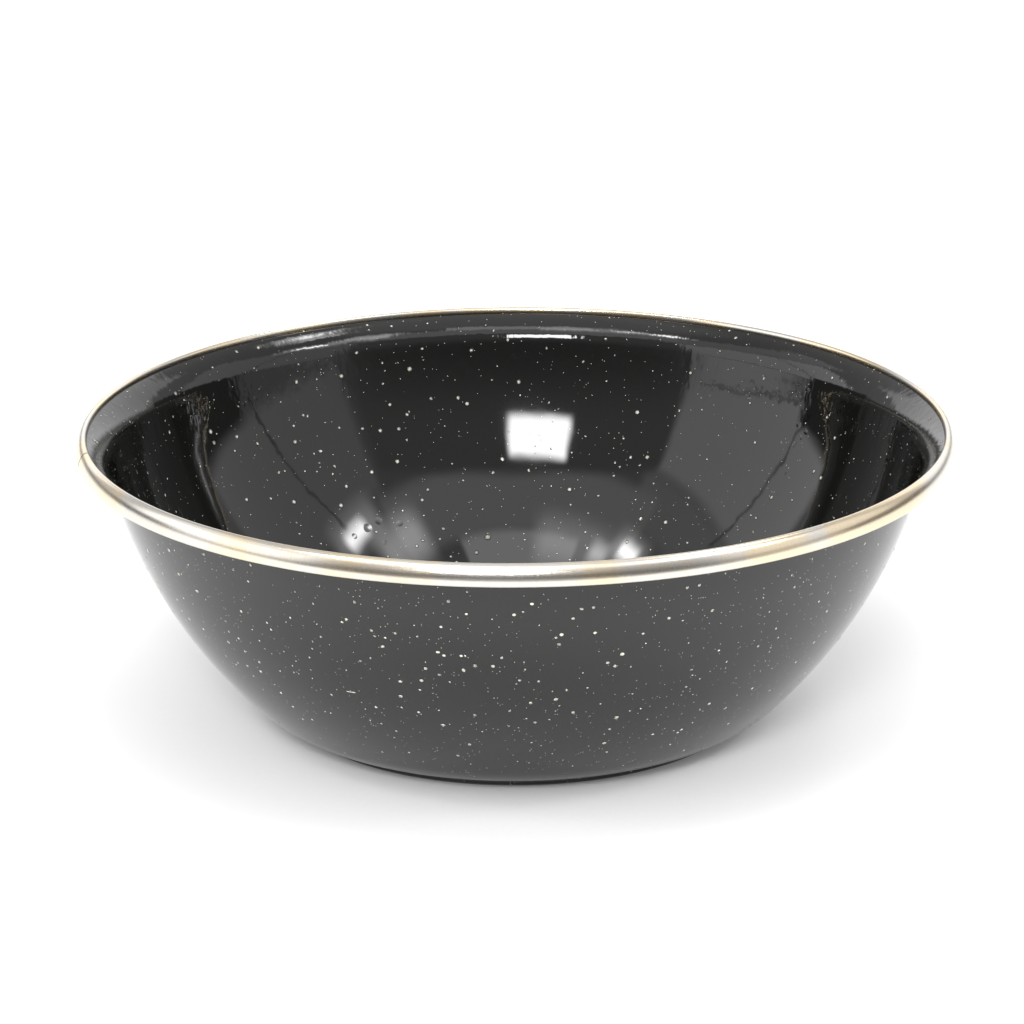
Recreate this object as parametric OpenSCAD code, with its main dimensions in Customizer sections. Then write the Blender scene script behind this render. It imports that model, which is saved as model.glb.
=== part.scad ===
// Enamelled steel bowl with a stainless band clasped over its flared lip.
//
// The sheet's section is one run of tangent bends from the axis out to the lip, joined by straight
// stretches. Depth zero is the bowl's outside face, and depth grows through the sheet towards its
// inside face, so the steel and both coats are strips of one run and meet face to face. The band is
// a hollow oval, open where the lip enters it, and both its edges bear on the coats.

/* [Bowl] */
// Diameter over the rim band
rim_d = 152; // [140:1:168]
// Height from the table to the top of the rim band
bowl_h = 51.3; // [47:0.1:58]
// Outer diameter of the flat ring that the bowl stands on
foot_d = 80; // [70:1:88]
// Outside radius of the bend from the foot up into the wall
corner_r = 15; // [10:0.5:20]
// Outside radius of the wall between that bend and the lip
wall_r = 90; // [70:0.5:130]

/* [Base] */
// Width of the flat standing ring
foot_w = 4; // [2:0.5:8]
// Outside radius of the heel, from the standing ring up into the foot's side
heel_r = 1.4; // [1.2:0.1:2]
// Slope of the foot's side, in degrees
heel_turn = 66; // [50:1:75]
// Outside radius of the bend from the foot's side out into the corner
instep_r = 1.2; // [0.6:0.1:2]
// Slope of the sheet where that bend meets the corner, in degrees
instep_turn = 18; // [10:1:26]
// Rise of the base panel above the table
recess_h = 1.2; // [0.6:0.1:2.4]
// Radius of each bend in the step between the standing ring and the base panel
step_r = 4; // [3:0.5:8]

/* [Lip] */
// Outside radius of the bend from the wall out into the lip
lip_r = 6; // [4:0.1:8]
// Rise of the lip where it enters the band, in degrees
lip_rise = 22; // [14:1:32]
// Width of the lip's straight edge inside the band
edge_w = 1; // [0.6:0.05:1.1]

/* [Sheet] */
// Thickness of the pressed steel
steel_t = 0.5; // [0.4:0.05:0.6]
// Thickness of each fused enamel coat
coat_t = 0.2; // [0.1:0.05:0.25]

/* [Rim band] */
// Width of the band's oval section
oval_w = 1.75; // [1.65:0.05:2.2]
// Length of that section, from its top to its bottom
oval_l = 3.8; // [3.5:0.1:4.4]
// Lean of that section towards the bowl's axis at its top, in degrees
oval_lean = 20; // [10:1:26]
// Thickness of the band's strip
band_t = 0.4; // [0.25:0.05:0.45]
// Height of the band above the lip, inside the bowl
inside_h = 1.1; // [0.9:0.05:1.4]
// Width of the gap where the band's two ends meet
seam_gap = 0.4; // [0.2:0.1:1]
// Direction of that gap around the rim, in degrees from +X
seam_turn = 193; // [0:1:359]

/* [Hidden] */

// Largest distance between a bend and the chords that draw it
chord_error = 0.01;
// Chords around the band's section
oval_sides = 56;
$fa = 2;
$fs = 0.4;

// Depths of the faces through the sheet
steel_outside = coat_t;
steel_inside = coat_t + steel_t;
sheet_t = steel_inside + coat_t;

// Unit vectors along a heading, and square to it on its left
function ahead(heading) = [cos(heading), sin(heading)];
function across(heading) = [-sin(heading), cos(heading)];

// A bend is its centre, its radius on the outside face, and its headings at both ends. The radius
// is negative where the run turns left, so depth adds to it on both hands.
function bend_point(bend, depth, heading) = bend[0] + (bend[1] + depth) * across(heading);
function bend_steps(bend) =
    let (widest = abs(bend[1]) + sheet_t)
    ceil(abs(bend[3] - bend[2]) / (2 * acos(1 - chord_error / widest)));
function bend_points(bend, depth) =
    let (steps = bend_steps(bend))
    [
        for (i = [1:steps])
            bend_point(bend, depth, bend[2] + (bend[3] - bend[2]) * i / steps)
    ];
// A chain is a list of bends, each of which starts where the one before it ends
function chain_points(chain, depth) =
    concat(
        [bend_point(chain[0], depth, chain[0][2])],
        [for (bend = chain) each bend_points(bend, depth)]
    );
function backwards(points) = [for (i = [len(points) - 1:-1:0]) points[i]];

// Band: a leaning oval, placed by how far it reaches out and up from its centre
oval_out = norm([oval_w * cos(oval_lean), oval_l * sin(oval_lean)]) / 2;
oval_up = norm([oval_w * sin(oval_lean), oval_l * cos(oval_lean)]) / 2;
oval_centre = [rim_d / 2 - oval_out, bowl_h - oval_up];
function oval_point(inset, turn) =
    oval_centre
    + (oval_w / 2 - inset) * cos(turn) * ahead(oval_lean)
    + (oval_l / 2 - inset) * sin(turn) * across(oval_lean);
function oval(inset) = [for (i = [1:oval_sides]) oval_point(inset, i * 360 / oval_sides)];

// Lip: its bend ends on the band's inner side, and its straight edge runs on into the band
lip_end = [rim_d / 2 - 2 * oval_out, bowl_h - inside_h];
lip_centre = lip_end - (lip_r + sheet_t) * across(lip_rise);
steel_w = edge_w - coat_t;
function edge_point(depth, width) = bend_point(lip_bend, depth, lip_rise) + width * ahead(lip_rise);

// Foot: its heel turns up from the standing ring, and its instep turns out again into the corner
heel_centre = [foot_d / 2, heel_r];
instep_centre = heel_centre - (heel_r + instep_r) * across(heel_turn);
heel_bend = [heel_centre, -heel_r, 0, heel_turn];
instep_bend = [instep_centre, instep_r, heel_turn, instep_turn];

// Wall: the one arc of its radius that leaves the foot's corner and enters the lip without a kink.
// Its centre is found from its distances to the centres of the bends at both its ends.
corner_centre = instep_centre + (instep_r + corner_r) * across(instep_turn);
corner_reach = wall_r - corner_r;
lip_reach = wall_r + lip_r;
span = lip_centre - corner_centre;
span_heading = atan2(span[1], span[0]);
along = (span * span + corner_reach ^ 2 - lip_reach ^ 2) / (2 * norm(span));
aside = sqrt(corner_reach ^ 2 - along ^ 2);
wall_centre = corner_centre + along * ahead(span_heading) + aside * across(span_heading);
function heading_along(normal) = atan2(-normal[0], normal[1]);
wall_foot = heading_along(wall_centre - corner_centre);
wall_top = heading_along(wall_centre - lip_centre);
corner_bend = [corner_centre, -corner_r, instep_turn, wall_foot];
wall_bend = [wall_centre, -wall_r, wall_foot, wall_top];
lip_bend = [lip_centre, lip_r, wall_top, lip_rise];

// Base: two equal bends step up from the standing ring to the base panel
step_turn = acos(1 - recess_h / (2 * step_r));
toe_centre = [foot_d / 2 - foot_w, step_r];
shoulder_centre = toe_centre - 2 * step_r * across(-step_turn);
shoulder_bend = [shoulder_centre, step_r, 0, -step_turn];
toe_bend = [toe_centre, -step_r, -step_turn, 0];

// Outline of the sheet's face at one depth, from the axis out along the lip's straight edge
base_chain = [shoulder_bend, toe_bend];
wall_chain = [heel_bend, instep_bend, corner_bend, wall_bend, lip_bend];
function face(depth, width) =
    concat(
        [[0, recess_h + depth]],
        chain_points(base_chain, depth),
        chain_points(wall_chain, depth),
        [edge_point(depth, width)]
    );

// Pressed shell, from the base panel to the lip's cut edge
module steel_shell() {
    color("dimgray")
        rotate_extrude()
            polygon(concat(face(steel_inside, steel_w), backwards(face(steel_outside, steel_w))));
}

// Coat on the outside face, out to the end of the lip
module outer_enamel() {
    color([0.09, 0.09, 0.09])
        rotate_extrude()
            polygon(concat(face(steel_outside, edge_w), backwards(face(0, edge_w))));
}

// Coat on the inside face, closed over the sheet's cut edge
module inner_enamel() {
    color([0.06, 0.06, 0.06])
        rotate_extrude()
            polygon(concat(
                face(sheet_t, edge_w),
                [edge_point(steel_outside, edge_w), edge_point(steel_outside, steel_w)],
                backwards(face(steel_inside, steel_w))
            ));
}

// Hollow strip clasped over the coated lip, open at its butt joint
module rim_band() {
    gap_turn = 2 * asin(seam_gap / rim_d);
    color([0.83, 0.8, 0.74])
        rotate([0, 0, seam_turn + gap_turn / 2])
            rotate_extrude(angle = 360 - gap_turn)
                difference() {
                    polygon(oval(0));
                    polygon(oval(band_t));
                    polygon(concat(face(sheet_t, edge_w), backwards(face(0, edge_w))));
                }
}

steel_shell();
outer_enamel();
inner_enamel();
rim_band();
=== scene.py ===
"""Enamelled bowl: fine coats, a clasped rim band, white flecks and a light tent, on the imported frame."""

import math

import bmesh
import bpy
from mathutils import Euler, Matrix, Vector


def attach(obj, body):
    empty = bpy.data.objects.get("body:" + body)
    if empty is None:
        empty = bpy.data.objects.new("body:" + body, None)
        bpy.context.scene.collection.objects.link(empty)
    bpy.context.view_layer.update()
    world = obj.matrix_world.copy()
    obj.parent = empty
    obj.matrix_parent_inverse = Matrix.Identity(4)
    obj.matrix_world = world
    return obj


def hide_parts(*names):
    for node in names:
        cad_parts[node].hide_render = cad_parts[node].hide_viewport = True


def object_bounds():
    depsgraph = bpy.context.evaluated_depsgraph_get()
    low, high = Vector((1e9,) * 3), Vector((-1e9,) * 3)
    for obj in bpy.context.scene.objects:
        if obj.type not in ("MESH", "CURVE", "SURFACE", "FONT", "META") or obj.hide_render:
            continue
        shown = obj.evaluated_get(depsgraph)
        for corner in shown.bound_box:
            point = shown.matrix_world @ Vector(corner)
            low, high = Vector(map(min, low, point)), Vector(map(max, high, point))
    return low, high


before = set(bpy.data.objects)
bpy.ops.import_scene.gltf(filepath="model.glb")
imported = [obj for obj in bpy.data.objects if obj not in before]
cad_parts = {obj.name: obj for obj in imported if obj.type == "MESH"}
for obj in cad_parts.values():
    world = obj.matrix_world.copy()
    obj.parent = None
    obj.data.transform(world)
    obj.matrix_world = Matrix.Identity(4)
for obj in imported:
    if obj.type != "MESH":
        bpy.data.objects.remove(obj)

CAD_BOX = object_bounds()

bl_info = {
    "name": "Enamelled Bowl",
    "version": (1, 0, 0),
    "blender": (4, 5, 0),
    "location": "View3D > Sidebar > Bowl",
    "description": "Builds an enamelled bowl with a clasped rim band and white flecks",
    "category": "Object",
}

MM = 0.001
PER_CM2 = 1e4  # points on a square metre for each one on a square centimetre

# Fineness of the meshes: length and turn of a facet along a bend, its widening on hidden faces, the
# distances within which points of a section or of a turned piece are one, and the turn of a sharp edge
FACET = 1.2 * MM
FACET_LEAST, FACET_MOST = math.radians(1), math.radians(5)
HIDDEN = 2.5
ONE_POINT, MERGED = 1e-7, 1e-6
SHARP = math.radians(40)
# Steps around the axis: in fine meshes, added to them for the band, and under the flecks. Then steps
# around the band's section, on its outside and in its hollow
SEGMENTS, BAND_SEGMENTS, SCATTER_SEGMENTS = 224, 64, 120
BAND_SIDES, HOLLOW_SIDES = 44, 36

# Camera that fits the photograph: place, angles in degrees, lens and sensor in millimetres
EYE = (0.0, -0.639916, 0.248513)
EYE_TURN = (71.5343, 0.2654, -0.0272)
LENS, SENSOR = 135.944, 36.0


# Settings that a user would change


def length(name, description, default):
    """A size, in metres."""
    return bpy.props.FloatProperty(name=name, description=description, default=default, unit="LENGTH")


def angle(name, description, degrees):
    """An angle, given in degrees and kept in radians."""
    return bpy.props.FloatProperty(
        name=name, description=description, default=math.radians(degrees), subtype="ANGLE"
    )


def number(name, description, default):
    """A count on a square centimetre."""
    return bpy.props.FloatProperty(name=name, description=description, default=default, min=0)


def shade(name, description, rgb):
    """A colour, in linear light."""
    return bpy.props.FloatVectorProperty(
        name=name, description=description, default=rgb, min=0, max=1, subtype="COLOR"
    )


class BowlSizes(bpy.types.PropertyGroup):
    """Sizes of the pressed sheet, its coats and its band."""

    rim_d: length("Rim Diameter", "Diameter over the rim band", CAD_BOX[1].x - CAD_BOX[0].x)
    bowl_h: length("Height", "Height of the rim band's top above the table", CAD_BOX[1].z - CAD_BOX[0].z)
    foot_d: length("Foot Diameter", "Outer diameter of the flat standing ring", 80 * MM)
    foot_w: length("Foot Width", "Width of the flat standing ring", 4 * MM)
    heel_r: length("Heel Radius", "Outside radius of the bend from the ring to the foot's side", 1.4 * MM)
    heel_turn: angle("Heel Turn", "Slope of the foot's side", 66)
    instep_r: length("Instep Radius", "Outside radius of the bend from that side to the corner", 1.2 * MM)
    instep_turn: angle("Instep Turn", "Slope of the sheet where that bend meets the corner", 18)
    recess_h: length("Base Rise", "Rise of the base panel above the table", 1.2 * MM)
    step_r: length("Step Radius", "Radius of both bends between ring and base panel", 4 * MM)
    corner_r: length("Corner Radius", "Outside radius of the bend from the foot up into the wall", 15 * MM)
    wall_r: length("Wall Radius", "Outside radius of the wall between that bend and the lip", 90 * MM)
    lip_r: length("Lip Radius", "Outside radius of the bend from the wall out into the lip", 6 * MM)
    lip_rise: angle("Lip Rise", "Rise of the lip where it enters the band", 22)
    edge_w: length("Edge Width", "Width of the lip's straight edge inside the band", 1 * MM)
    steel_t: length("Steel Thickness", "Thickness of the pressed steel", 0.5 * MM)
    coat_t: length("Coat Thickness", "Thickness of each fused enamel coat", 0.2 * MM)
    oval_w: length("Band Width", "Width of the band's oval section", 1.75 * MM)
    oval_l: length("Band Length", "Length of that section, from its top to its bottom", 3.8 * MM)
    oval_lean: angle("Band Lean", "Lean of that section towards the axis at its top", 20)
    band_t: length("Band Thickness", "Thickness of the band's strip", 0.4 * MM)
    inside_h: length("Band Inside", "Height of the band above the lip, inside the bowl", 1.1 * MM)
    band_round: length("Band Edge Radius", "Rounding of the band's rolled edges", 0.13 * MM)
    seam_gap: length("Seam Gap", "Width of the gap where the band's two ends meet", 0.4 * MM)
    seam_turn: angle("Seam Turn", "Direction of that gap around the rim, from +X", 193)
    segments: bpy.props.IntProperty(
        name="Segments", description="Steps around the axis in the fine meshes", default=SEGMENTS, min=32
    )


class FleckSizes(bpy.types.PropertyGroup):
    """Sizes and counts of the white flecks."""

    outer_per_cm2: number("Outside Flecks", "Flecks on a square centimetre of the outside", 19)
    outer_least: length("Smallest Outside", "Width of the smallest fleck outside", 0.13 * MM)
    outer_most: length("Largest Outside", "Width of the largest fleck outside", 0.78 * MM)
    outer_low: length("Lowest Outside", "Height above the table below which there are none", 0.6 * MM)
    sparse_below: length("Sparse Below", "Height below which they grow fewer towards the foot", 32 * MM)
    inner_per_cm2: number("Inside Drops", "Drops on a square centimetre of the inside", 6)
    inner_least: length("Smallest Inside", "Width of the smallest drop inside", 0.22 * MM)
    inner_most: length("Largest Inside", "Width of the largest drop inside", 0.95 * MM)
    seed: bpy.props.IntProperty(name="Seed", description="Seed of the scatter", default=7)


class Finishes(bpy.types.PropertyGroup):
    """Colours of the finishes."""

    enamel: shade("Enamel", "Black of the enamel", (0.0052, 0.005, 0.0046))
    fleck: shade("Flecks", "White of the flecks", (0.78, 0.76, 0.66))
    band: shade("Band", "Stainless steel of the rim band", (0.73, 0.645, 0.525))
    steel: shade("Steel", "Pressed steel under the coats", (0.36, 0.37, 0.38))
    floor: shade("Floor", "Pale floor of the stage", (0.86, 0.86, 0.86))


# Marks that stand out in the photograph: turn around the axis in degrees from +X, then height, length
# and width in millimetres

LARGE_GRAINS = (
    (259.2, 33.3, 0.8, 0.6), (260, 32.7, 0.7, 0.6), (244, 22.6, 2.1, 0.35), (284.7, 32.3, 0.9, 0.8),
    (269.7, 41, 0.8, 0.75), (276, 37, 0.8, 0.75), (280.5, 37, 0.75, 0.7), (272, 43, 0.75, 0.65),
    (277.4, 40, 0.7, 0.6), (260, 38.3, 0.65, 0.6), (247.5, 20, 0.6, 0.6), (262.4, 32.8, 0.65, 0.6),
    (246, 37.3, 0.6, 0.5), (233, 34, 0.6, 0.6), (252, 35.3, 0.6, 0.55), (300, 30, 0.6, 0.5),
    (263.5, 41, 0.55, 0.5), (296.4, 23.3, 0.55, 0.5), (225, 28.4, 0.55, 0.5), (254.6, 20, 0.65, 0.6),
    (294, 13, 0.6, 0.55), (320, 21.3, 0.55, 0.5),
)
LARGE_DROPS = (
    (95.8, 12.2, 1.4, 1.3), (107, 41.6, 1.2, 1.1), (124, 20, 1.1, 1), (129.3, 32, 1.1, 1),
    (133.4, 22.4, 1.1, 1), (111.2, 25.7, 1, 1), (60, 16.4, 1, 1), (118.5, 41.8, 1, 1), (80, 20, 1, 1),
    (113.3, 31.3, 1, 0.9), (66.5, 26.5, 1, 1), (69.5, 34, 1, 1), (98, 34.7, 1, 0.9), (146, 38, 1.2, 1.1),
    (146, 36, 1, 1), (116.3, 24.5, 1, 0.9), (30, 30.4, 1, 1), (110, 31.2, 0.9, 0.9),
)
BLISTERS = (
    (117.4, 16.5, 2.6, 2.4), (120, 15.7, 2.8, 2.6), (113.3, 15.6, 2.2, 2), (123.3, 14.8, 1.8, 1.8),
    (117.4, 13, 1.6, 1.4), (39, 25.3, 2.6, 2.4), (38.7, 29, 1.6, 1.6), (36.6, 27.3, 1.4, 1.4),
    (136.5, 42.6, 2.6, 2.2), (134.8, 41, 2, 2), (137.5, 40.5, 1.8, 1.8), (133.3, 42.5, 1.8, 1.6),
    (41, 44.5, 2.2, 1.8), (39, 43.6, 2, 1.8), (40.2, 42, 1.6, 1.4), (39, 37.4, 2.2, 2), (37, 36.6, 2, 1.6),
    (38.6, 34, 1.8, 1.8), (37.6, 35.4, 1.4, 1.4),
)

# Light tent, in degrees around the bowl from the camera and above the table: left, right, low and high
# edge of each patch and the softness of its edges, then its brightness

CLOTH = (
    (-200, -138, 8, 27, 5, 1.6),
    (130, 200, 8, 36, 5, 1.5),
    (-114, -53, 7, 36, 4, 1.85),
    (-126, -50, 36, 49, 5, 1.2),
    (54, 113, 7, 40, 4, 1.1),
    (-60, 58, 41, 57, 4, 1.5),
    (-34, 30, 57, 67, 3, 2.9),
    (-122, -96, -20, 11, 3, 0.12),
    (-200, -122, -20, 7, 3, 0.2),
    (52, 90, -20, 12, 4, 0.6),
    (90, 127, -20, 12, 4, 0.12),
    (127, 200, -20, 5.5, 3, 0.3),
)
# Dark opening at the front, whose edges sink to both sides by ARCH times the squared turn, in radians
OPENING = (
    (-54, 51, -20, 43.5, 4, 0.5),
    (-54, 51, -30, 22, 26, 0.14),
    (-60, 60, -30, 1, 10, 0.5),
)
ARCH = 0.16
# Lamps behind the cloth, added to it
LAMPS = (
    (-19, 2.5, 30, 39.5, 3, 25),
    (61, 85, 40, 46, 8, 3),
    (68, 80, 42, 45, 4, 20),
    (46, 70, 47, 57, 9, 4.5),
    (-70, -52, 51, 57, 7, 4),
    (-66, -56, 52, 55.5, 3.5, 22),
    (-52, -12, 55, 63, 12, 3),
    (-52, -42, 56, 59.5, 6, 9),
    (95, 140, 57, 65, 8, 5),
    (114, 130, 60, 64, 4, 10),
)
# Bare cloth: the heights between which its light changes, and its brightness below and above them
BARE = (math.radians(56), math.radians(68), 0.65, 1.05)
# Dark seams of the side walls: turn and height of both ends in degrees. Then how far they wander, over
# what they fade at their ends and how fine their waves are, and the line's edges and its darkness
SEAMS = ((-98, 9, -90, 38), (87, 9, 76, 40), (-60, 15, -97, 6.5))
SEAM_WANDER, SEAM_END, SEAM_SCALE = 0.05, 0.01, 22.0
SEAM_DARK = (0.003, 0.012, 0.6, 0.0)

# Floor, in metres: reach to the sides and back, and front edge. Then its painted light, an emission that
# lifts the shade near the foot and paints a pool of light at the front, as two places and the strengths
# there: close to the foot, further out, and from the front to the back
FLOOR_REACH, FLOOR_FRONT = 4.0, 0.34
PAINTED_LIGHT_CLOSE = (0.03, 0.048, 0.0, 0.15)
PAINTED_LIGHT_OUT = (0.06, 0.1)
PAINTED_POOL_FRONT = (-0.08, 0.02, 0.3, 0.1)


# Section of the sheet, as in the part's source: one run of tangent bends, and depth through it


def ahead(heading):
    """The unit vector along a heading."""
    return Vector((math.cos(heading), math.sin(heading)))


def across(heading):
    """The unit vector to the left of a heading."""
    return Vector((-math.sin(heading), math.cos(heading)))


def bend_point(bend, depth, heading):
    """A point of a bend, which is a centre, a radius and two headings, at one depth."""
    centre, radius, _, _ = bend
    return centre + (radius + depth) * across(heading)


def bend_points(bend, depth, facet):
    """Points along a bend at one depth, no more than a facet's turn apart."""
    start, end = bend[2], bend[3]
    steps = max(1, math.ceil(abs(end - start) / facet - 1e-6))
    return [bend_point(bend, depth, start + (end - start) * i / steps) for i in range(steps + 1)]


def heading_along(normal):
    """The heading that has a normal on its left."""
    return math.atan2(-normal.x, normal.y)


class Section:
    """The bends of the sheet's section, from the axis out to the lip, and the band's oval."""

    def __init__(self, size):
        self.size = size
        self.steel_outside = size.coat_t
        self.steel_inside = size.coat_t + size.steel_t
        self.sheet_t = self.steel_inside + size.coat_t
        self.steel_w = size.edge_w - size.coat_t
        wide, tall = ahead(size.oval_lean) * size.oval_w / 2, across(size.oval_lean) * size.oval_l / 2
        oval_out, oval_up = math.hypot(wide.x, tall.x), math.hypot(wide.y, tall.y)
        self.oval_centre = Vector((size.rim_d / 2 - oval_out, size.bowl_h - oval_up))
        self.lip_end = Vector((size.rim_d / 2 - 2 * oval_out, size.bowl_h - size.inside_h))
        lip_centre = self.lip_end - (size.lip_r + self.sheet_t) * across(size.lip_rise)
        heel_centre = Vector((size.foot_d / 2, size.heel_r))
        instep_centre = heel_centre - (size.heel_r + size.instep_r) * across(size.heel_turn)
        corner_centre = instep_centre + (size.instep_r + size.corner_r) * across(size.instep_turn)
        wall_centre = self.wall_centre(corner_centre, lip_centre)
        wall_foot = heading_along(wall_centre - corner_centre)
        wall_top = heading_along(wall_centre - lip_centre)
        self.heel = (heel_centre, -size.heel_r, 0, size.heel_turn)
        self.instep = (instep_centre, size.instep_r, size.heel_turn, size.instep_turn)
        self.corner = (corner_centre, -size.corner_r, size.instep_turn, wall_foot)
        self.wall = (wall_centre, -size.wall_r, wall_foot, wall_top)
        self.lip = (lip_centre, size.lip_r, wall_top, size.lip_rise)
        step_turn = math.acos(1 - size.recess_h / (2 * size.step_r))
        toe_centre = Vector((size.foot_d / 2 - size.foot_w, size.step_r))
        shoulder_centre = toe_centre - 2 * size.step_r * across(-step_turn)
        self.shoulder = (shoulder_centre, size.step_r, 0, -step_turn)
        self.toe = (toe_centre, -size.step_r, -step_turn, 0)
        self.wall_run = [self.shoulder, self.toe, self.heel, self.instep, self.corner, self.wall]
        self.bowl_run = self.wall_run + [self.lip]

    def wall_centre(self, corner_centre, lip_centre):
        """Centre of the arc that touches the corner from within and the lip from without."""
        near, far = self.size.wall_r - self.size.corner_r, self.size.wall_r + self.size.lip_r
        span = lip_centre - corner_centre
        along = (span.length_squared + near ** 2 - far ** 2) / (2 * span.length)
        aside = math.sqrt(near ** 2 - along ** 2)
        heading = math.atan2(span.y, span.x)
        return corner_centre + along * ahead(heading) + aside * across(heading)

    def trace(self, run, depth, fine=1.0):
        """Points from the axis along a run at one depth. A larger fine widens every facet."""
        points = [Vector((0, self.size.recess_h + depth))]
        for bend in run:
            facet = min(max(FACET / abs(bend[1]), FACET_LEAST), FACET_MOST) * fine
            points += bend_points(bend, depth, facet)
        return points

    def edge_point(self, depth, width):
        """A point on the lip's straight edge."""
        return bend_point(self.lip, depth, self.lip[3]) + width * ahead(self.lip[3])

    def face(self, depth, width, fine=1.0):
        """The sheet's face at one depth, from the axis out along the lip's straight edge."""
        return self.trace(self.bowl_run, depth, fine) + [self.edge_point(depth, width)]

    def spot(self, depth, height):
        """The point of the wall at one depth and height, and the heading there."""
        for bend in (self.corner, self.wall, self.lip):
            if height <= bend_point(bend, depth, bend[3]).y:
                heading = math.acos((height - bend[0].y) / (bend[1] + depth))
                return bend_point(bend, depth, heading), heading
        raise ValueError(f"the wall ends below {height} m")

    def oval_point(self, inset, turn):
        """A point of the band's oval, or of its hollow, which lies an inset further in."""
        lean = self.size.oval_lean
        wide = (self.size.oval_w / 2 - inset) * math.cos(turn) * ahead(lean)
        return self.oval_centre + wide + (self.size.oval_l / 2 - inset) * math.sin(turn) * across(lean)

    def depth_at(self, point):
        """How deep a point lies through the lip or through its straight edge."""
        past = point - self.lip_end
        if past.dot(ahead(self.lip[3])) > 0:
            return past.dot(across(self.lip[3])) + self.sheet_t
        return (point - self.lip[0]).length - self.lip[1]

    def oval_turn(self, inset, depth):
        """The turn at which the oval's inner side crosses a face of the lip."""
        high, low = math.radians(90), math.radians(230)
        for _ in range(40):
            middle = (high + low) / 2
            if self.depth_at(self.oval_point(inset, middle)) > depth:
                high = middle
            else:
                low = middle
        return low

    def band_side(self, inset, sides):
        """One side of the band's strip, from the inner coat over the top and round to the outer coat."""
        start = self.oval_turn(inset, self.sheet_t)
        end = self.oval_turn(inset, 0) - math.tau
        return [self.oval_point(inset, start + (end - start) * i / sides) for i in range(sides + 1)]


def filled(points, longest=1.6 * MM):
    """The same line with doubles dropped and long straight stretches divided."""
    line = [points[0]]
    for point in points[1:]:
        gap = (point - line[-1]).length
        if gap < ONE_POINT:
            continue
        steps = math.ceil(gap / longest)
        start = line[-1]
        line += [start.lerp(point, i / steps) for i in range(1, steps + 1)]
    return line


def rounded(loop, radius, corners, steps=4):
    """A closed loop whose corners, given by index, are cut back and rounded by a quadratic curve."""
    line = []
    for i, point in enumerate(loop):
        if i not in corners:
            line.append(point)
            continue
        before = (loop[i - 1] - point).normalized() * radius
        after = (loop[(i + 1) % len(loop)] - point).normalized() * radius
        for k in range(steps + 1):
            t = k / steps
            line.append(point + before * (1 - t) ** 2 + after * t ** 2)
    return line


# Short ways to write node trees


def node(tree, kind, links=None, **options):
    """A new node with its options, and its inputs set or linked by name or place."""
    made = tree.nodes.new(kind)
    for name, value in options.items():
        setattr(made, name, value)
    for name, value in (links or {}).items():
        if isinstance(value, bpy.types.NodeSocket):
            tree.links.new(value, made.inputs[name])
        else:
            made.inputs[name].default_value = value
    return made


def calc(tree, operation, *terms):
    """One step of arithmetic on sockets or numbers."""
    return node(tree, "ShaderNodeMath", dict(enumerate(terms)), operation=operation).outputs[0]


def ramp(tree, value, low, high, start=0.0, end=1.0):
    """A smooth change from start to end while the value goes from low to high."""
    links = {"Value": value, "From Min": low, "From Max": high, "To Min": start, "To Max": end}
    return node(tree, "ShaderNodeMapRange", links, interpolation_type="SMOOTHSTEP").outputs["Result"]


def vector_calc(tree, operation, *terms):
    """One step of arithmetic on vectors. A length or a dot product is a number."""
    made = node(tree, "ShaderNodeVectorMath", dict(enumerate(terms)), operation=operation)
    return made.outputs["Value" if operation in ("LENGTH", "DOT_PRODUCT") else "Vector"]


def split(tree, place):
    """The X, Y and Z of a place."""
    return node(tree, "ShaderNodeSeparateXYZ", {0: place}).outputs


def join(tree, x, y, z):
    """A vector from its X, Y and Z."""
    return node(tree, "ShaderNodeCombineXYZ", {"X": x, "Y": y, "Z": z}).outputs[0]


def noise(tree, place, scale, detail, roughness=0.5):
    """Cloudy noise around one half."""
    links = {"Vector": place, "Scale": scale, "Detail": detail, "Roughness": roughness}
    return node(tree, "ShaderNodeTexNoise", links).outputs[0]


def blend(tree, share, low, high, **options):
    """A colour between two others."""
    links = {0: share, 6: low, 7: high}
    return node(tree, "ShaderNodeMix", links, data_type="RGBA", **options).outputs[2]


def socket(tree, name, way, kind, default=None, subtype=None):
    """A named input or output on a node group."""
    made = tree.interface.new_socket(name=name, in_out=way, socket_type="NodeSocket" + kind)
    if subtype:
        made.subtype = subtype
    if default is not None:
        made.default_value = default


def new_tree(name, kind, inputs, outputs):
    """A node group with named sockets, and what its input node gives."""
    tree = bpy.data.node_groups.new(name, kind)
    for label, *rest in inputs:
        socket(tree, label, "INPUT", *rest)
    for label, *rest in outputs:
        socket(tree, label, "OUTPUT", *rest)
    return tree, node(tree, "NodeGroupInput").outputs


def colour(rgb, share=1.0):
    """A colour for a socket, darkened to a share of its light."""
    return (rgb[0] * share, rgb[1] * share, rgb[2] * share, 1.0)


# Geometry trees

SECTION_INPUTS = (
    ("Section", "Geometry"),
    ("Segments", "Int", SEGMENTS),
    ("Start", "Float", 0.0, "ANGLE"),
    ("Sweep", "Float", math.tau, "ANGLE"),
)
SCATTER_INPUTS = (
    ("Section", "Geometry"),
    ("Segments", "Int", SCATTER_SEGMENTS),
    ("Density", "Float", 10 * PER_CM2),
    ("Smallest", "Float", 0.2 * MM, "DISTANCE"),
    ("Largest", "Float", 0.8 * MM, "DISTANCE"),
    ("Lowest", "Float", 0.0, "DISTANCE"),
    ("Sparse Below", "Float", 0.0, "DISTANCE"),
    ("Seed", "Int", 1),
    ("Material", "Material"),
)
# Height over which flecks grow fewer, and the share that is left at its bottom
SPARSE_SPAN, SPARSE_LEAST = 30 * MM, 0.3
# Seed that picks a shape for each point, and what the inside adds to the seed of its scatter
PICK_SEED, INSIDE_SEED = 11, 20


def position(tree):
    return node(tree, "GeometryNodeInputPosition").outputs[0]


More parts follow.
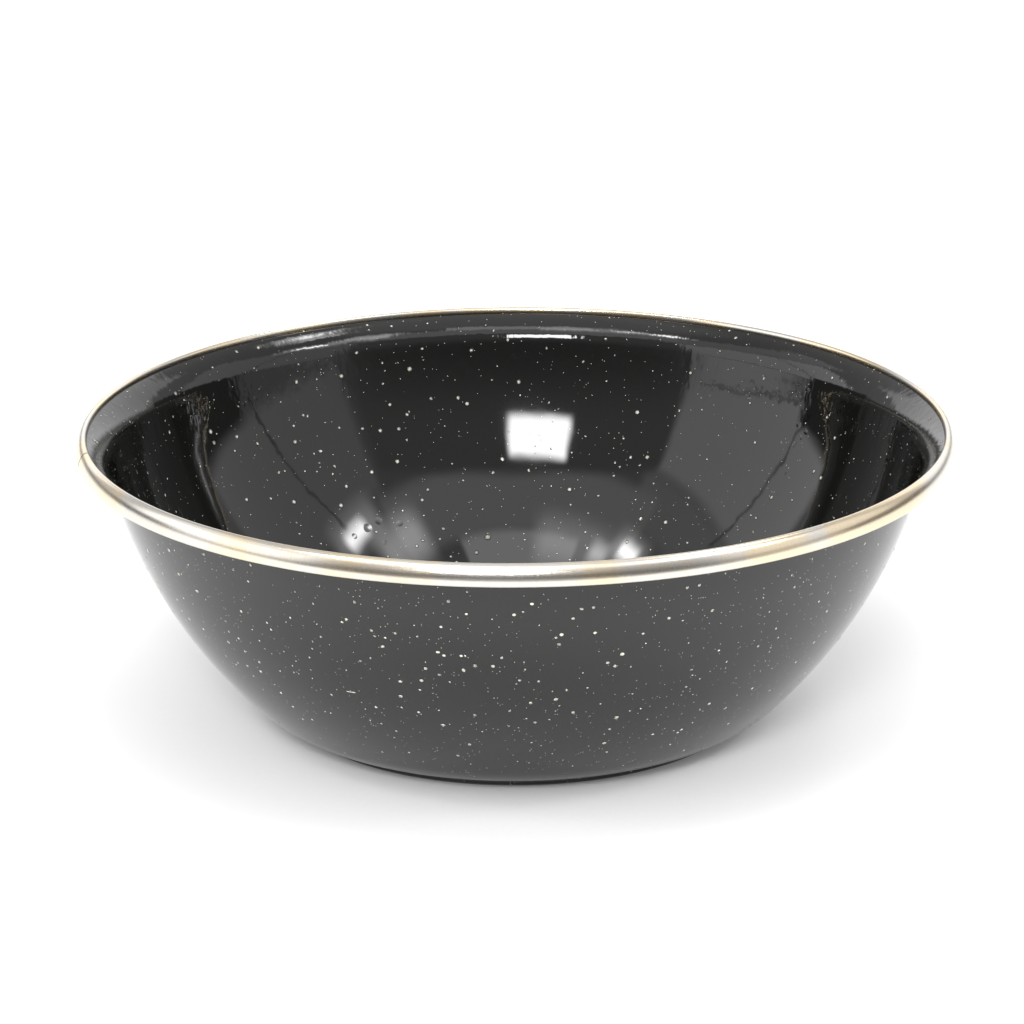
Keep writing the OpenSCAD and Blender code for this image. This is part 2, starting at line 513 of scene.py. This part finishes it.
def revolve_group():
    """Turns a section, drawn as a chain of points in the XZ plane, about the Z axis."""
    name = "Revolve Section"
    if name in bpy.data.node_groups:
        return bpy.data.node_groups[name]
    tree, given = new_tree(name, "GeometryNodeTree", SECTION_INPUTS, [("Surface", "Geometry")])
    size = node(tree, "GeometryNodeAttributeDomainSize", {0: given["Section"]})
    around = calc(tree, "ADD", given["Segments"], 1)
    grid = node(
        tree, "GeometryNodeMeshGrid",
        {"Vertices X": size.outputs["Point Count"], "Vertices Y": around},
    )
    index = node(tree, "GeometryNodeInputIndex").outputs[0]
    along = calc(tree, "FLOOR", calc(tree, "DIVIDE", calc(tree, "ADD", index, 0.5), around))
    step = calc(tree, "SUBTRACT", index, calc(tree, "MULTIPLY", along, around))
    share = calc(tree, "DIVIDE", step, given["Segments"])
    turn = calc(tree, "MULTIPLY_ADD", share, given["Sweep"], given["Start"])
    sample = node(
        tree, "GeometryNodeSampleIndex",
        {"Geometry": given["Section"], "Value": position(tree), "Index": along},
        data_type="FLOAT_VECTOR", domain="POINT",
    )
    turned = node(
        tree, "ShaderNodeVectorRotate", {"Vector": sample.outputs[0], "Angle": turn},
        rotation_type="Z_AXIS",
    )
    moved = node(
        tree, "GeometryNodeSetPosition",
        {"Geometry": grid.outputs["Mesh"], "Position": turned.outputs[0]},
    )
    merged = node(
        tree, "GeometryNodeMergeByDistance", {"Geometry": moved.outputs[0], "Distance": MERGED}
    )
    node(tree, "NodeGroupOutput", {"Surface": merged.outputs[0]})
    return tree


def close_tree(tree, geometry, material):
    """Ends a tree: real meshes, smooth shading and the material."""
    real = node(tree, "GeometryNodeRealizeInstances", {0: geometry})
    smooth = node(tree, "GeometryNodeSetShadeSmooth", {"Geometry": real.outputs[0]})
    painted = node(
        tree, "GeometryNodeSetMaterial", {"Geometry": smooth.outputs[0], "Material": material}
    )
    node(tree, "NodeGroupOutput", {0: painted.outputs[0]})


def turned_tree():
    """A piece of revolution from its section."""
    inputs = (*SECTION_INPUTS, ("Material", "Material"))
    tree, given = new_tree("Turned Piece", "GeometryNodeTree", inputs, [("Piece", "Geometry")])
    links = {name: given[name] for name, *_ in SECTION_INPUTS}
    surface = node(tree, "GeometryNodeGroup", links, node_tree=revolve_group())
    close_tree(tree, surface.outputs[0], given["Material"])
    return tree


def random_float(tree, low, high, seed):
    """A number by chance for each point."""
    links = {2: low, 3: high, 8: seed}
    return node(tree, "FunctionNodeRandomValue", links, data_type="FLOAT").outputs[1]


def plant(tree, shapes, points, turn, size):
    """Sets one of four shapes, picked by chance, on each point."""
    choice = node(tree, "GeometryNodeGeometryToInstance")
    for shape in shapes(tree):
        tree.links.new(shape, choice.inputs[0])
    pick = node(tree, "FunctionNodeRandomValue", {4: 0, 5: 3, 8: PICK_SEED}, data_type="INT")
    placed = node(
        tree, "GeometryNodeInstanceOnPoints",
        {
            "Points": points, "Instance": choice.outputs[0], "Pick Instance": True,
            "Instance Index": pick.outputs[2], "Rotation": turn, "Scale": size,
        },
    )
    return placed.outputs[0]


def scatter_tree(name, shapes, steep, flat):
    """Scatters shapes over a surface of revolution, many small ones and few large ones."""
    tree, given = new_tree(name, "GeometryNodeTree", SCATTER_INPUTS, [("Flecks", "Geometry")])
    surface = node(
        tree, "GeometryNodeGroup", {"Section": given["Section"], "Segments": given["Segments"]},
        node_tree=revolve_group(),
    )
    height = split(tree, position(tree))["Z"]
    free = node(
        tree, "FunctionNodeCompare", {0: height, 1: given["Lowest"]},
        data_type="FLOAT", operation="GREATER_THAN",
    )
    full = given["Sparse Below"]
    thin = ramp(tree, height, calc(tree, "SUBTRACT", full, SPARSE_SPAN), full, SPARSE_LEAST, 1.0)
    points = node(
        tree, "GeometryNodeDistributePointsOnFaces",
        {
            "Mesh": surface.outputs[0], "Selection": free.outputs[0],
            "Density": calc(tree, "MULTIPLY", given["Density"], thin), "Seed": given["Seed"],
        },
        distribute_method="RANDOM",
    )
    seeds = [calc(tree, "ADD", given["Seed"], i) for i in range(1, 5)]
    share = calc(tree, "POWER", random_float(tree, 0.0, 1.0, seeds[0]), steep)
    spread = calc(tree, "SUBTRACT", given["Largest"], given["Smallest"])
    half = calc(tree, "MULTIPLY", calc(tree, "MULTIPLY_ADD", share, spread, given["Smallest"]), 0.5)
    long = calc(tree, "MULTIPLY", half, random_float(tree, 0.85, 1.3, seeds[1]))
    wide = calc(tree, "MULTIPLY", half, random_float(tree, 0.7, 1.05, seeds[2]))
    size = join(tree, long, wide, calc(tree, "MULTIPLY", half, flat))
    spin = node(
        tree, "FunctionNodeAxisAngleToRotation",
        {"Axis": (0, 0, 1), "Angle": random_float(tree, 0.0, math.tau, seeds[3])},
    )
    turn = node(
        tree, "FunctionNodeRotateRotation",
        {"Rotation": points.outputs["Rotation"], "Rotate By": spin.outputs[0]},
        rotation_space="LOCAL",
    )
    placed = plant(tree, shapes, points.outputs["Points"], turn.outputs[0], size)
    close_tree(tree, placed, given["Material"])
    return tree


def marks_tree(name, shapes):
    """Sets shapes on points that carry their own facing and size."""
    inputs = (("Points", "Geometry"), ("Material", "Material"))
    tree, given = new_tree(name, "GeometryNodeTree", inputs, [("Marks", "Geometry")])
    facing = node(tree, "GeometryNodeInputNamedAttribute", {"Name": "facing"}, data_type="QUATERNION")
    size = node(tree, "GeometryNodeInputNamedAttribute", {"Name": "size"}, data_type="FLOAT_VECTOR")
    placed = plant(tree, shapes, given["Points"], facing.outputs[0], size.outputs[0])
    close_tree(tree, placed, given["Material"])
    return tree


def flake_shapes(tree):
    """Broken grains of glass: low frustums of four to seven sides, half sunk into the coat."""
    for sides, top in ((5, 0.62), (6, 0.7), (4, 0.74), (7, 0.66)):
        grain = node(
            tree, "GeometryNodeMeshCone",
            {"Vertices": sides, "Radius Top": top, "Radius Bottom": 1.0, "Depth": 2.0},
            fill_type="NGON",
        )
        yield node(
            tree, "GeometryNodeTransform",
            {"Geometry": grain.outputs["Mesh"], "Translation": (0, 0, -1.0)},
        ).outputs[0]


def bead(tree, segments, rings):
    """A round bead, half sunk. Its attribute rise falls from one at its middle to zero at its edge."""
    ball = node(
        tree, "GeometryNodeMeshUVSphere", {"Segments": segments, "Rings": rings, "Radius": 1.0}
    )
    away = vector_calc(tree, "LENGTH", vector_calc(tree, "MULTIPLY", position(tree), (1, 1, 0)))
    return node(
        tree, "GeometryNodeStoreNamedAttribute",
        {"Geometry": ball.outputs["Mesh"], "Name": "rise", "Value": calc(tree, "SUBTRACT", 1.0, away)},
        data_type="FLOAT", domain="POINT",
    ).outputs[0]


def drop_shapes(tree):
    """Melted drops: flat round beads, half sunk into the coat."""
    for segments in (10, 9, 11, 8):
        yield bead(tree, segments, 5)


def blister_shapes(tree):
    """Blisters of the coat: bell-shaped swellings that rise out of it without an edge."""
    for segments in (24, 25, 26, 27):
        x, y, z = split(tree, position(tree))
        steep = calc(tree, "POWER", calc(tree, "ABSOLUTE", z), 3.0)
        bell = join(tree, x, y, calc(tree, "MULTIPLY", z, steep))
        yield node(
            tree, "GeometryNodeSetPosition",
            {"Geometry": bead(tree, segments, 24), "Position": bell},
        ).outputs[0]


# From a section to a finished piece


def scene_object(name, data):
    """A new object in the scene."""
    made = bpy.data.objects.new(name, data)
    bpy.context.scene.collection.objects.link(made)
    return made


def chain_object(name, points):
    """A mesh of points joined in a row, in the XZ plane."""
    mesh = bpy.data.meshes.new(name)
    mesh.from_pydata(
        [(p.x, 0.0, p.y) for p in points], [(i, i + 1) for i in range(len(points) - 1)], []
    )
    return scene_object(name, mesh)


def marks_object(name, cut, depth, marks, flat):
    """A mesh of loose points on one face of the wall, with the facing and the size of each mark."""
    mesh = bpy.data.meshes.new(name)
    mesh.vertices.add(len(marks))
    mesh.attributes.new("facing", "QUATERNION", "POINT")
    mesh.attributes.new("size", "FLOAT_VECTOR", "POINT")
    facing, sizes = mesh.attributes["facing"], mesh.attributes["size"]
    for i, (turn, height, long, wide) in enumerate(marks):
        spot, heading = cut.spot(depth, height * MM)
        around = Matrix.Rotation(math.radians(turn), 3, "Z")
        normal = across(heading) if depth else -across(heading)
        z = around @ Vector((normal.x, 0, normal.y))
        x = around @ Vector((0, 1, 0))
        mesh.vertices[i].co = around @ Vector((spot.x, 0, spot.y))
        facing.data[i].value = Matrix((x, z.cross(x), z)).transposed().to_quaternion()
        sizes.data[i].vector = Vector((long, wide, wide * flat)) * MM / 2
    return scene_object(name, mesh)


def through_tree(made, tree, inputs):
    """Runs an object through a tree and keeps the result as a plain mesh."""
    modifier = made.modifiers.new(tree.name, "NODES")
    modifier.node_group = tree
    for item in tree.interface.items_tree:
        if item.in_out == "INPUT" and item.name in inputs:
            modifier[item.identifier] = inputs[item.name]
    graph = bpy.context.evaluated_depsgraph_get()
    mesh = bpy.data.meshes.new_from_object(made.evaluated_get(graph))
    if not mesh.polygons:
        raise RuntimeError(f"{made.name}: the tree made no faces")
    made.modifiers.remove(modifier)
    old = made.data
    made.data = mesh
    bpy.data.meshes.remove(old)
    mesh.name = made.name
    return made


def closed(made):
    """Closes a turned piece's poles and ends, turns its faces outwards and keeps its edges crisp."""
    work = bmesh.new()
    work.from_mesh(made.data)
    bmesh.ops.remove_doubles(work, verts=work.verts, dist=ONE_POINT)
    open_edges = [edge for edge in work.edges if edge.is_boundary]
    if open_edges:
        bmesh.ops.holes_fill(work, edges=open_edges, sides=0)
    bmesh.ops.recalc_face_normals(work, faces=work.faces)
    if any(not edge.is_manifold for edge in work.edges):
        raise RuntimeError(f"{made.name}: the mesh isn't closed")
    for face in work.faces:
        face.smooth = True
    work.to_mesh(made.data)
    work.free()
    made.data.set_sharp_from_angle(angle=SHARP)


def turned_piece(name, line, inputs):
    """A closed piece of revolution from the line around its section."""
    made = through_tree(chain_object(name, line), turned_tree(), inputs)
    closed(made)
    return made


def marked_piece(name, cut, depth, marks, shapes, material, flat):
    """Shapes at places of their own on one face of the wall."""
    spots = marks_object(name, cut, depth, marks, flat)
    tree = marks_tree(name.replace("_", " ").title(), shapes)
    return through_tree(spots, tree, {"Material": material})


def keep(made, slot, *nodes):
    """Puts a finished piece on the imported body."""
    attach(made, "root")
    if nodes:
        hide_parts(*nodes)


# Finishes

GLASS_IOR = 1.52
# Sags of the inner coat under the lip: heights over which they set in, fineness and stretch
SAG_LOW, SAG_HIGH = 36 * MM, 43 * MM
SAG_SCALE, SAG_STRETCH = 520.0, (1, 1, 0.4)
# Heat tints of the band, as shares of its colour, and lines across it in each radian
COOL, WARM = (0.93, 1, 1.13), (1.05, 1, 0.9)
BAND_LINES = 420.0


def glaze_group():
    """Uneven depth and gloss of a fused glass coat, and the finest dust in it."""
    name = "Glaze Surface"
    if name in bpy.data.node_groups:
        return bpy.data.node_groups[name]
    tree, given = new_tree(
        name, "ShaderNodeTree",
        [("Vector", "Vector"), ("Waves", "Float", 110.0), ("Dust", "Float", 2600.0),
         ("Dust Share", "Float", 0.1)],
        [("Height", "Float"), ("Gloss", "Float"), ("Dust", "Float")],
    )
    place = given["Vector"]
    grains = node(tree, "ShaderNodeTexVoronoi", {"Vector": place, "Scale": given["Dust"]}, feature="F1")
    chance = node(tree, "ShaderNodeSeparateColor", {0: grains.outputs["Color"]}).outputs[0]
    kept = calc(tree, "LESS_THAN", chance, given["Dust Share"])
    spot = ramp(tree, grains.outputs["Distance"], 0.16, 0.3, 1.0, 0.0)
    node(
        tree, "NodeGroupOutput",
        {
            "Height": noise(tree, place, given["Waves"], detail=2.0, roughness=0.4),
            "Gloss": noise(tree, place, scale=45.0, detail=4.0, roughness=0.6),
            "Dust": calc(tree, "MULTIPLY", kept, spot),
        },
    )
    return tree


def blank_material(name):
    """A material, its empty tree, and the place on the object there."""
    made = bpy.data.materials.new(name)
    made.use_nodes = True
    tree = made.node_tree
    tree.nodes.clear()
    return made, tree, node(tree, "ShaderNodeTexCoord").outputs["Object"]


def surface_of(tree, links):
    """Ends a material with its shader."""
    shader = node(tree, "ShaderNodeBsdfPrincipled", links)
    node(tree, "ShaderNodeOutputMaterial", {"Surface": shader.outputs[0]})


def enamel_material(name, finish, wave_depth, dust_share, gloss, sag=0.0):
    """Black glass fused over steel, glossy and a little uneven, and sagged under the lip if asked."""
    made, tree, place = blank_material(name)
    glaze = node(
        tree, "ShaderNodeGroup", {"Vector": place, "Dust Share": dust_share}, node_tree=glaze_group()
    ).outputs
    tint = blend(tree, glaze["Dust"], colour(finish.enamel), colour(finish.fleck, 0.55))
    height = glaze["Height"]
    if sag:
        runs = noise(tree, vector_calc(tree, "MULTIPLY", place, SAG_STRETCH), SAG_SCALE, detail=2.0)
        under = ramp(tree, split(tree, place)["Z"], SAG_LOW, SAG_HIGH, 0.0, sag / wave_depth)
        height = calc(tree, "MULTIPLY_ADD", runs, under, height)
    bump = node(tree, "ShaderNodeBump", {"Height": height, "Strength": 1.0, "Distance": wave_depth})
    surface_of(
        tree,
        {
            "Base Color": tint, "Roughness": ramp(tree, glaze["Gloss"], 0.35, 0.7, *gloss),
            "IOR": GLASS_IOR, "Normal": bump.outputs[0],
        },
    )
    return made


def fleck_material(name, finish, melted):
    """White glass, a little greyer here and there. Where it is melted, it fades into the black."""
    made, tree, place = blank_material(name)
    patch = noise(tree, place, scale=700.0, detail=1.0)
    tint = blend(tree, ramp(tree, patch, 0.3, 0.55), colour(finish.fleck, 0.5), colour(finish.fleck))
    if melted:
        rise = node(tree, "ShaderNodeAttribute", attribute_name="rise").outputs["Fac"]
        tint = blend(tree, ramp(tree, rise, 0.05, 0.9), colour(finish.enamel), tint)
    rough = ramp(tree, patch, 0.3, 0.7, 0.3, 0.12)
    surface_of(tree, {"Base Color": tint, "Roughness": rough, "IOR": GLASS_IOR})
    return made


def band_material(finish):
    """Bright rolled stainless with fine lines across the strip and faint heat tints along it."""
    made, tree, place = blank_material("stainless_band")
    x, y, _ = split(tree, place)
    turn = calc(tree, "ARCTAN2", y, x)
    lines = node(
        tree, "ShaderNodeTexNoise",
        {"W": calc(tree, "MULTIPLY", turn, BAND_LINES), "Detail": 3.0, "Scale": 1.0, "Roughness": 0.7},
        noise_dimensions="1D",
    ).outputs[0]
    cool, warm = (colour([c * k for c, k in zip(finish.band, tints)]) for tints in (COOL, WARM))
    cloud = noise(tree, place, scale=60.0, detail=3.0)
    tint = blend(tree, ramp(tree, cloud, 0.4, 0.6), cool, warm)
    ticks = ramp(tree, lines, 0.34, 0.5, 0.93, 1.0)
    bump = node(tree, "ShaderNodeBump", {"Height": lines, "Strength": 1.0, "Distance": 0.0012 * MM})
    surface_of(
        tree,
        {
            "Base Color": blend(tree, 1.0, tint, ticks, blend_type="MULTIPLY"), "Metallic": 1.0,
            "Roughness": ramp(tree, lines, 0.3, 0.7, 0.27, 0.19), "Normal": bump.outputs[0],
        },
    )
    return made


def steel_material(finish):
    """Plain pressed sheet."""
    made, tree, place = blank_material("pressed_steel")
    cloud = noise(tree, place, scale=180.0, detail=5.0)
    tint = blend(tree, cloud, colour(finish.steel, 0.8), colour(finish.steel))
    rough = ramp(tree, cloud, 0.3, 0.7, 0.5, 0.35)
    surface_of(tree, {"Base Color": tint, "Metallic": 1.0, "Roughness": rough})
    return made


# Operators


def settings():
    """Sizes, flecks and finishes as they are set in the scene."""
    scene = bpy.context.scene
    return scene.bowl_sizes, scene.bowl_flecks, scene.bowl_finishes


class BOWL_OT_outer_coat(bpy.types.Operator):
    """Builds the coat on the outside, from the base panel to the end of the lip"""

    bl_idname = "bowl.outer_coat"
    bl_label = "Outer Coat"

    def execute(self, context):
        size, _, finish = settings()
        cut = Section(size)
        line = cut.face(0, size.edge_w) + cut.face(cut.steel_outside, size.edge_w, HIDDEN)[::-1]
        paint = enamel_material(
            "enamel_outside", finish, wave_depth=0.012 * MM, dust_share=0.05, gloss=(0.05, 0.11)
        )
        inputs = {"Segments": size.segments, "Material": paint}
        keep(turned_piece("outer_coat", filled(line), inputs), "black_enamel", "outer_enamel")
        return {"FINISHED"}


class BOWL_OT_inner_coat(bpy.types.Operator):
    """Builds the coat on the inside, closed over the sheet's cut edge"""

    bl_idname = "bowl.inner_coat"
    bl_label = "Inner Coat"

    def execute(self, context):
        size, _, finish = settings()
        cut = Section(size)
        line = cut.face(cut.sheet_t, size.edge_w)
        line += [cut.edge_point(cut.steel_outside, width) for width in (size.edge_w, cut.steel_w)]
        line += cut.face(cut.steel_inside, cut.steel_w, HIDDEN)[::-1]
        paint = enamel_material(
            "enamel_inside", finish, wave_depth=0.03 * MM, dust_share=0.03, gloss=(0.03, 0.07),
            sag=0.05 * MM,
        )
        inputs = {"Segments": size.segments, "Material": paint}
        keep(turned_piece("inner_coat", filled(line), inputs), "black_enamel", "inner_enamel")
        return {"FINISHED"}


class BOWL_OT_rim_band(bpy.types.Operator):
    """Builds the hollow strip clasped over the lip, open at its butt joint"""

    bl_idname = "bowl.rim_band"
    bl_label = "Rim Band"

    def execute(self, context):
        size, _, finish = settings()
        cut = Section(size)
        outside, inside = cut.band_side(0, BAND_SIDES), cut.band_side(size.band_t, HOLLOW_SIDES)
        loop = outside + inside[::-1]
        corners = (0, len(outside) - 1, len(outside), len(loop) - 1)
        loop = rounded(loop, size.band_round, corners)
        gap = 2 * math.asin(size.seam_gap / size.rim_d)
        inputs = {
            "Segments": size.segments + BAND_SEGMENTS, "Start": size.seam_turn + gap / 2,
            "Sweep": math.tau - gap, "Material": band_material(finish),
        }
        keep(turned_piece("clasped_band", loop + loop[:1], inputs), "stainless_band", "rim_band")
        return {"FINISHED"}


class BOWL_OT_outer_flecks(bpy.types.Operator):
    """Scatters broken white grains over the outside and the base panel, and sets the largest ones"""

    bl_idname = "bowl.outer_flecks"
    bl_label = "Outer Flecks"

    def execute(self, context):
        size, fleck, finish = settings()
        cut = Section(size)
        paint = fleck_material("white_grains", finish, False)
        line = filled(cut.trace(cut.wall_run, 0))
        inputs = {
            "Segments": SCATTER_SEGMENTS, "Density": fleck.outer_per_cm2 * PER_CM2,
            "Smallest": fleck.outer_least, "Largest": fleck.outer_most, "Lowest": fleck.outer_low,
            "Sparse Below": fleck.sparse_below, "Seed": fleck.seed, "Material": paint,
        }
        tree = scatter_tree("Outer Flecks", flake_shapes, steep=5.0, flat=0.12)
        keep(through_tree(chain_object("outer_flecks", line), tree, inputs), "white_flecks")
        grains = marked_piece("large_grains", cut, 0, LARGE_GRAINS, flake_shapes, paint, flat=0.1)
        keep(grains, "white_flecks")
        return {"FINISHED"}


class BOWL_OT_inner_flecks(bpy.types.Operator):
    """Scatters melted white drops over the inside and the lip, and sets the largest ones"""

    bl_idname = "bowl.inner_flecks"
    bl_label = "Inner Flecks"

    def execute(self, context):
        size, fleck, finish = settings()
        cut = Section(size)
        paint = fleck_material("white_drops", finish, True)
        line = filled(cut.trace(cut.bowl_run, cut.sheet_t))
        inputs = {
            "Segments": SCATTER_SEGMENTS, "Density": fleck.inner_per_cm2 * PER_CM2,
            "Smallest": fleck.inner_least, "Largest": fleck.inner_most, "Seed": fleck.seed + INSIDE_SEED,
            "Material": paint,
        }
        tree = scatter_tree("Inner Flecks", drop_shapes, steep=3.2, flat=0.1)
        keep(through_tree(chain_object("inner_flecks", line), tree, inputs), "white_flecks")
        inner = cut.sheet_t
        drops = marked_piece("large_drops", cut, inner, LARGE_DROPS, drop_shapes, paint, flat=0.1)
        keep(drops, "white_flecks")
        return {"FINISHED"}


class BOWL_OT_blisters(bpy.types.Operator):
    """Raises the blisters that the fired coat has on the inside"""

    bl_idname = "bowl.blisters"
    bl_label = "Blisters"

    def execute(self, context):
        size, _, finish = settings()
        cut = Section(size)
        paint = enamel_material(
            "enamel_blisters", finish, wave_depth=0.004 * MM, dust_share=0.03, gloss=(0.03, 0.07)
        )
        inner = cut.sheet_t
        made = marked_piece("blisters", cut, inner, BLISTERS, blister_shapes, paint, flat=0.022)
        keep(made, "black_enamel")
        return {"FINISHED"}


class BOWL_OT_steel_shell(bpy.types.Operator):
    """Gives the pressed shell under the coats its finish"""

    bl_idname = "bowl.steel_shell"
    bl_label = "Steel Shell"

    def execute(self, context):
        _, _, finish = settings()
        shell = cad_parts["steel_shell"]
        paint = steel_material(finish)
        if not shell.material_slots:
            shell.data.materials.append(paint)
        for place in shell.material_slots:
            place.material = paint
        return {"FINISHED"}


def direction(turn, rise):
    """The way from the bowl to a place in the tent, given in degrees."""
    a, e = math.radians(turn), math.radians(rise)
    return Vector((math.sin(a) * math.cos(e), -math.cos(a) * math.cos(e), math.sin(e)))


class BOWL_OT_stage(bpy.types.Operator):
    """Sets the pale floor, the light tent with its front opening and lamps, and the camera"""

    bl_idname = "bowl.stage"
    bl_label = "Stage"

    def execute(self, context):
        _, _, finish = settings()
        self.lay_floor(finish)
        self.pitch_tent()
        self.set_camera()
        context.scene.view_settings.view_transform = "Standard"
        return {"FINISHED"}

    def lay_floor(self, finish):
        """A pale floor with painted light: it glows more away from the bowl, lifting the shade near the
        foot, and more at the front, as a pool of light.
        """
        mesh = bpy.data.meshes.new("floor")
        reach, edge = FLOOR_REACH, -FLOOR_FRONT
        mesh.from_pydata(
            [(-reach, edge, 0), (reach, edge, 0), (reach, reach, 0), (-reach, reach, 0)],
            [], [(0, 1, 2, 3)],
        )
        floor = scene_object("floor", mesh)
        made, tree, place = blank_material("pale_floor")
        grain = noise(tree, place, scale=900.0, detail=3.0)
        tint = blend(tree, grain, colour(finish.floor, 0.96), colour(finish.floor))
        # Painted light: an emission that brightens the floor away from the foot and more at the front
        away = vector_calc(tree, "LENGTH", place)
        front = ramp(tree, split(tree, place)["Y"], *PAINTED_POOL_FRONT)
        out = calc(tree, "MULTIPLY", ramp(tree, away, *PAINTED_LIGHT_OUT), front)
        painted_glow = calc(tree, "ADD", ramp(tree, away, *PAINTED_LIGHT_CLOSE), out)
        surface_of(
            tree,
            {
                "Base Color": tint, "Roughness": 0.9, "Specular IOR Level": 0.1,
                "Emission Color": (1, 1, 1, 1), "Emission Strength": painted_glow,
            },
        )
        mesh.materials.append(made)

    def pitch_tent(self):
        """White cloth all round, dark through the opening at the front, with lamps behind the cloth."""
        world = bpy.data.worlds.new("light_tent")
        bpy.context.scene.world = world
        world.use_nodes = True
        tree = world.node_tree
        tree.nodes.clear()
        way = node(tree, "ShaderNodeTexCoord").outputs["Generated"]
        x, y, z = split(tree, way)
        turn = calc(tree, "ARCTAN2", x, calc(tree, "MULTIPLY", y, -1.0))
        rise = calc(tree, "ARCSINE", z)
        light = ramp(tree, rise, *BARE)
        arched = calc(tree, "MULTIPLY_ADD", calc(tree, "MULTIPLY", turn, turn), ARCH, rise)
        for patches, height in ((CLOTH, rise), (OPENING, arched)):
            for *edges, bright in patches:
                mask = self.patch(tree, turn, height, *edges)
                light = node(tree, "ShaderNodeMix", {0: mask, 2: light, 3: bright}).outputs[0]
        for *edges, bright in LAMPS:
            light = calc(tree, "MULTIPLY_ADD", self.patch(tree, turn, rise, *edges), bright, light)
        for ends in SEAMS:
            light = calc(tree, "MULTIPLY", light, self.seam(tree, way, *ends))
        tent = node(tree, "ShaderNodeBackground", {"Color": (1, 1, 1, 1), "Strength": light})
        plain = node(tree, "ShaderNodeBackground", {"Color": (1, 1, 1, 1), "Strength": 1.0})
        seen = node(tree, "ShaderNodeLightPath").outputs["Is Camera Ray"]
        mixed = node(tree, "ShaderNodeMixShader", {0: seen, 1: tent.outputs[0], 2: plain.outputs[0]})
        node(tree, "ShaderNodeOutputWorld", {"Surface": mixed.outputs[0]})

    def patch(self, tree, turn, rise, left, right, low, high, soft):
        """One within a patch of the tent and zero outside, with soft edges."""
        mask = None
        for value, edge, way in ((turn, left, 1), (turn, right, -1), (rise, low, 1), (rise, high, -1)):
            near, far = (math.radians(edge + way * soft * part / 2) for part in (-1, 1))
            side = ramp(tree, value, min(near, far), max(near, far), *((0, 1) if way > 0 else (1, 0)))
            mask = calc(tree, "MULTIPLY", mask, side) if mask else side
        return mask

    def seam(self, tree, way, *ends):
        """A dark seam of the cloth between two directions, as a factor on the light."""
        start, end = direction(*ends[:2]), direction(*ends[2:])
        middle = (start + end).normalized()
        waves = noise(tree, way, SEAM_SCALE, detail=2.0)
        aside = vector_calc(tree, "DOT_PRODUCT", way, start.cross(end).normalized())
        bent = calc(
            tree, "MULTIPLY_ADD", waves, SEAM_WANDER, calc(tree, "ADD", aside, -SEAM_WANDER / 2)
        )
        thin = ramp(tree, calc(tree, "ABSOLUTE", bent), *SEAM_DARK)
        reach = start.dot(middle)
        held = ramp(tree, vector_calc(tree, "DOT_PRODUCT", way, middle), reach - SEAM_END, reach)
        return calc(tree, "SUBTRACT", 1.0, calc(tree, "MULTIPLY", thin, held))

    def set_camera(self):
        """The camera that took the photograph."""
        lens = bpy.data.cameras.new("camera")
        lens.sensor_width = SENSOR
        lens.lens = LENS
        eye = scene_object("camera", lens)
        eye.location = EYE
        eye.rotation_euler = Euler([math.radians(v) for v in EYE_TURN])
        bpy.context.scene.camera = eye


class BOWL_PT_panel(bpy.types.Panel):
    """Lists the pieces of the bowl and their settings"""

    bl_idname = "BOWL_PT_panel"
    bl_label = "Enamelled Bowl"
    bl_space_type = "VIEW_3D"
    bl_region_type = "UI"
    bl_category = "Bowl"

    def draw(self, context):
        for step in STEPS:
            self.layout.operator(step.bl_idname)
        for group in settings():
            box = self.layout.box()
            for name in group.__annotations__:
                box.prop(group, name)


STEPS = (
    BOWL_OT_outer_coat,
    BOWL_OT_inner_coat,
    BOWL_OT_rim_band,
    BOWL_OT_outer_flecks,
    BOWL_OT_inner_flecks,
    BOWL_OT_blisters,
    BOWL_OT_steel_shell,
    BOWL_OT_stage,
)
CLASSES = (BowlSizes, FleckSizes, Finishes, *STEPS, BOWL_PT_panel)


def register():
    for each in CLASSES:
        bpy.utils.register_class(each)
    bpy.types.Scene.bowl_sizes = bpy.props.PointerProperty(type=BowlSizes)
    bpy.types.Scene.bowl_flecks = bpy.props.PointerProperty(type=FleckSizes)
    bpy.types.Scene.bowl_finishes = bpy.props.PointerProperty(type=Finishes)


def unregister():
    del bpy.types.Scene.bowl_finishes
    del bpy.types.Scene.bowl_flecks
    del bpy.types.Scene.bowl_sizes
    for each in reversed(CLASSES):
        bpy.utils.unregister_class(each)


def main():
    register()
    bpy.ops.bowl.outer_coat()
    bpy.ops.bowl.inner_coat()
    bpy.ops.bowl.rim_band()
    bpy.ops.bowl.outer_flecks()
    bpy.ops.bowl.inner_flecks()
    bpy.ops.bowl.blisters()
    bpy.ops.bowl.steel_shell()
    bpy.ops.bowl.stage()


if __name__ == "__main__":
    main()
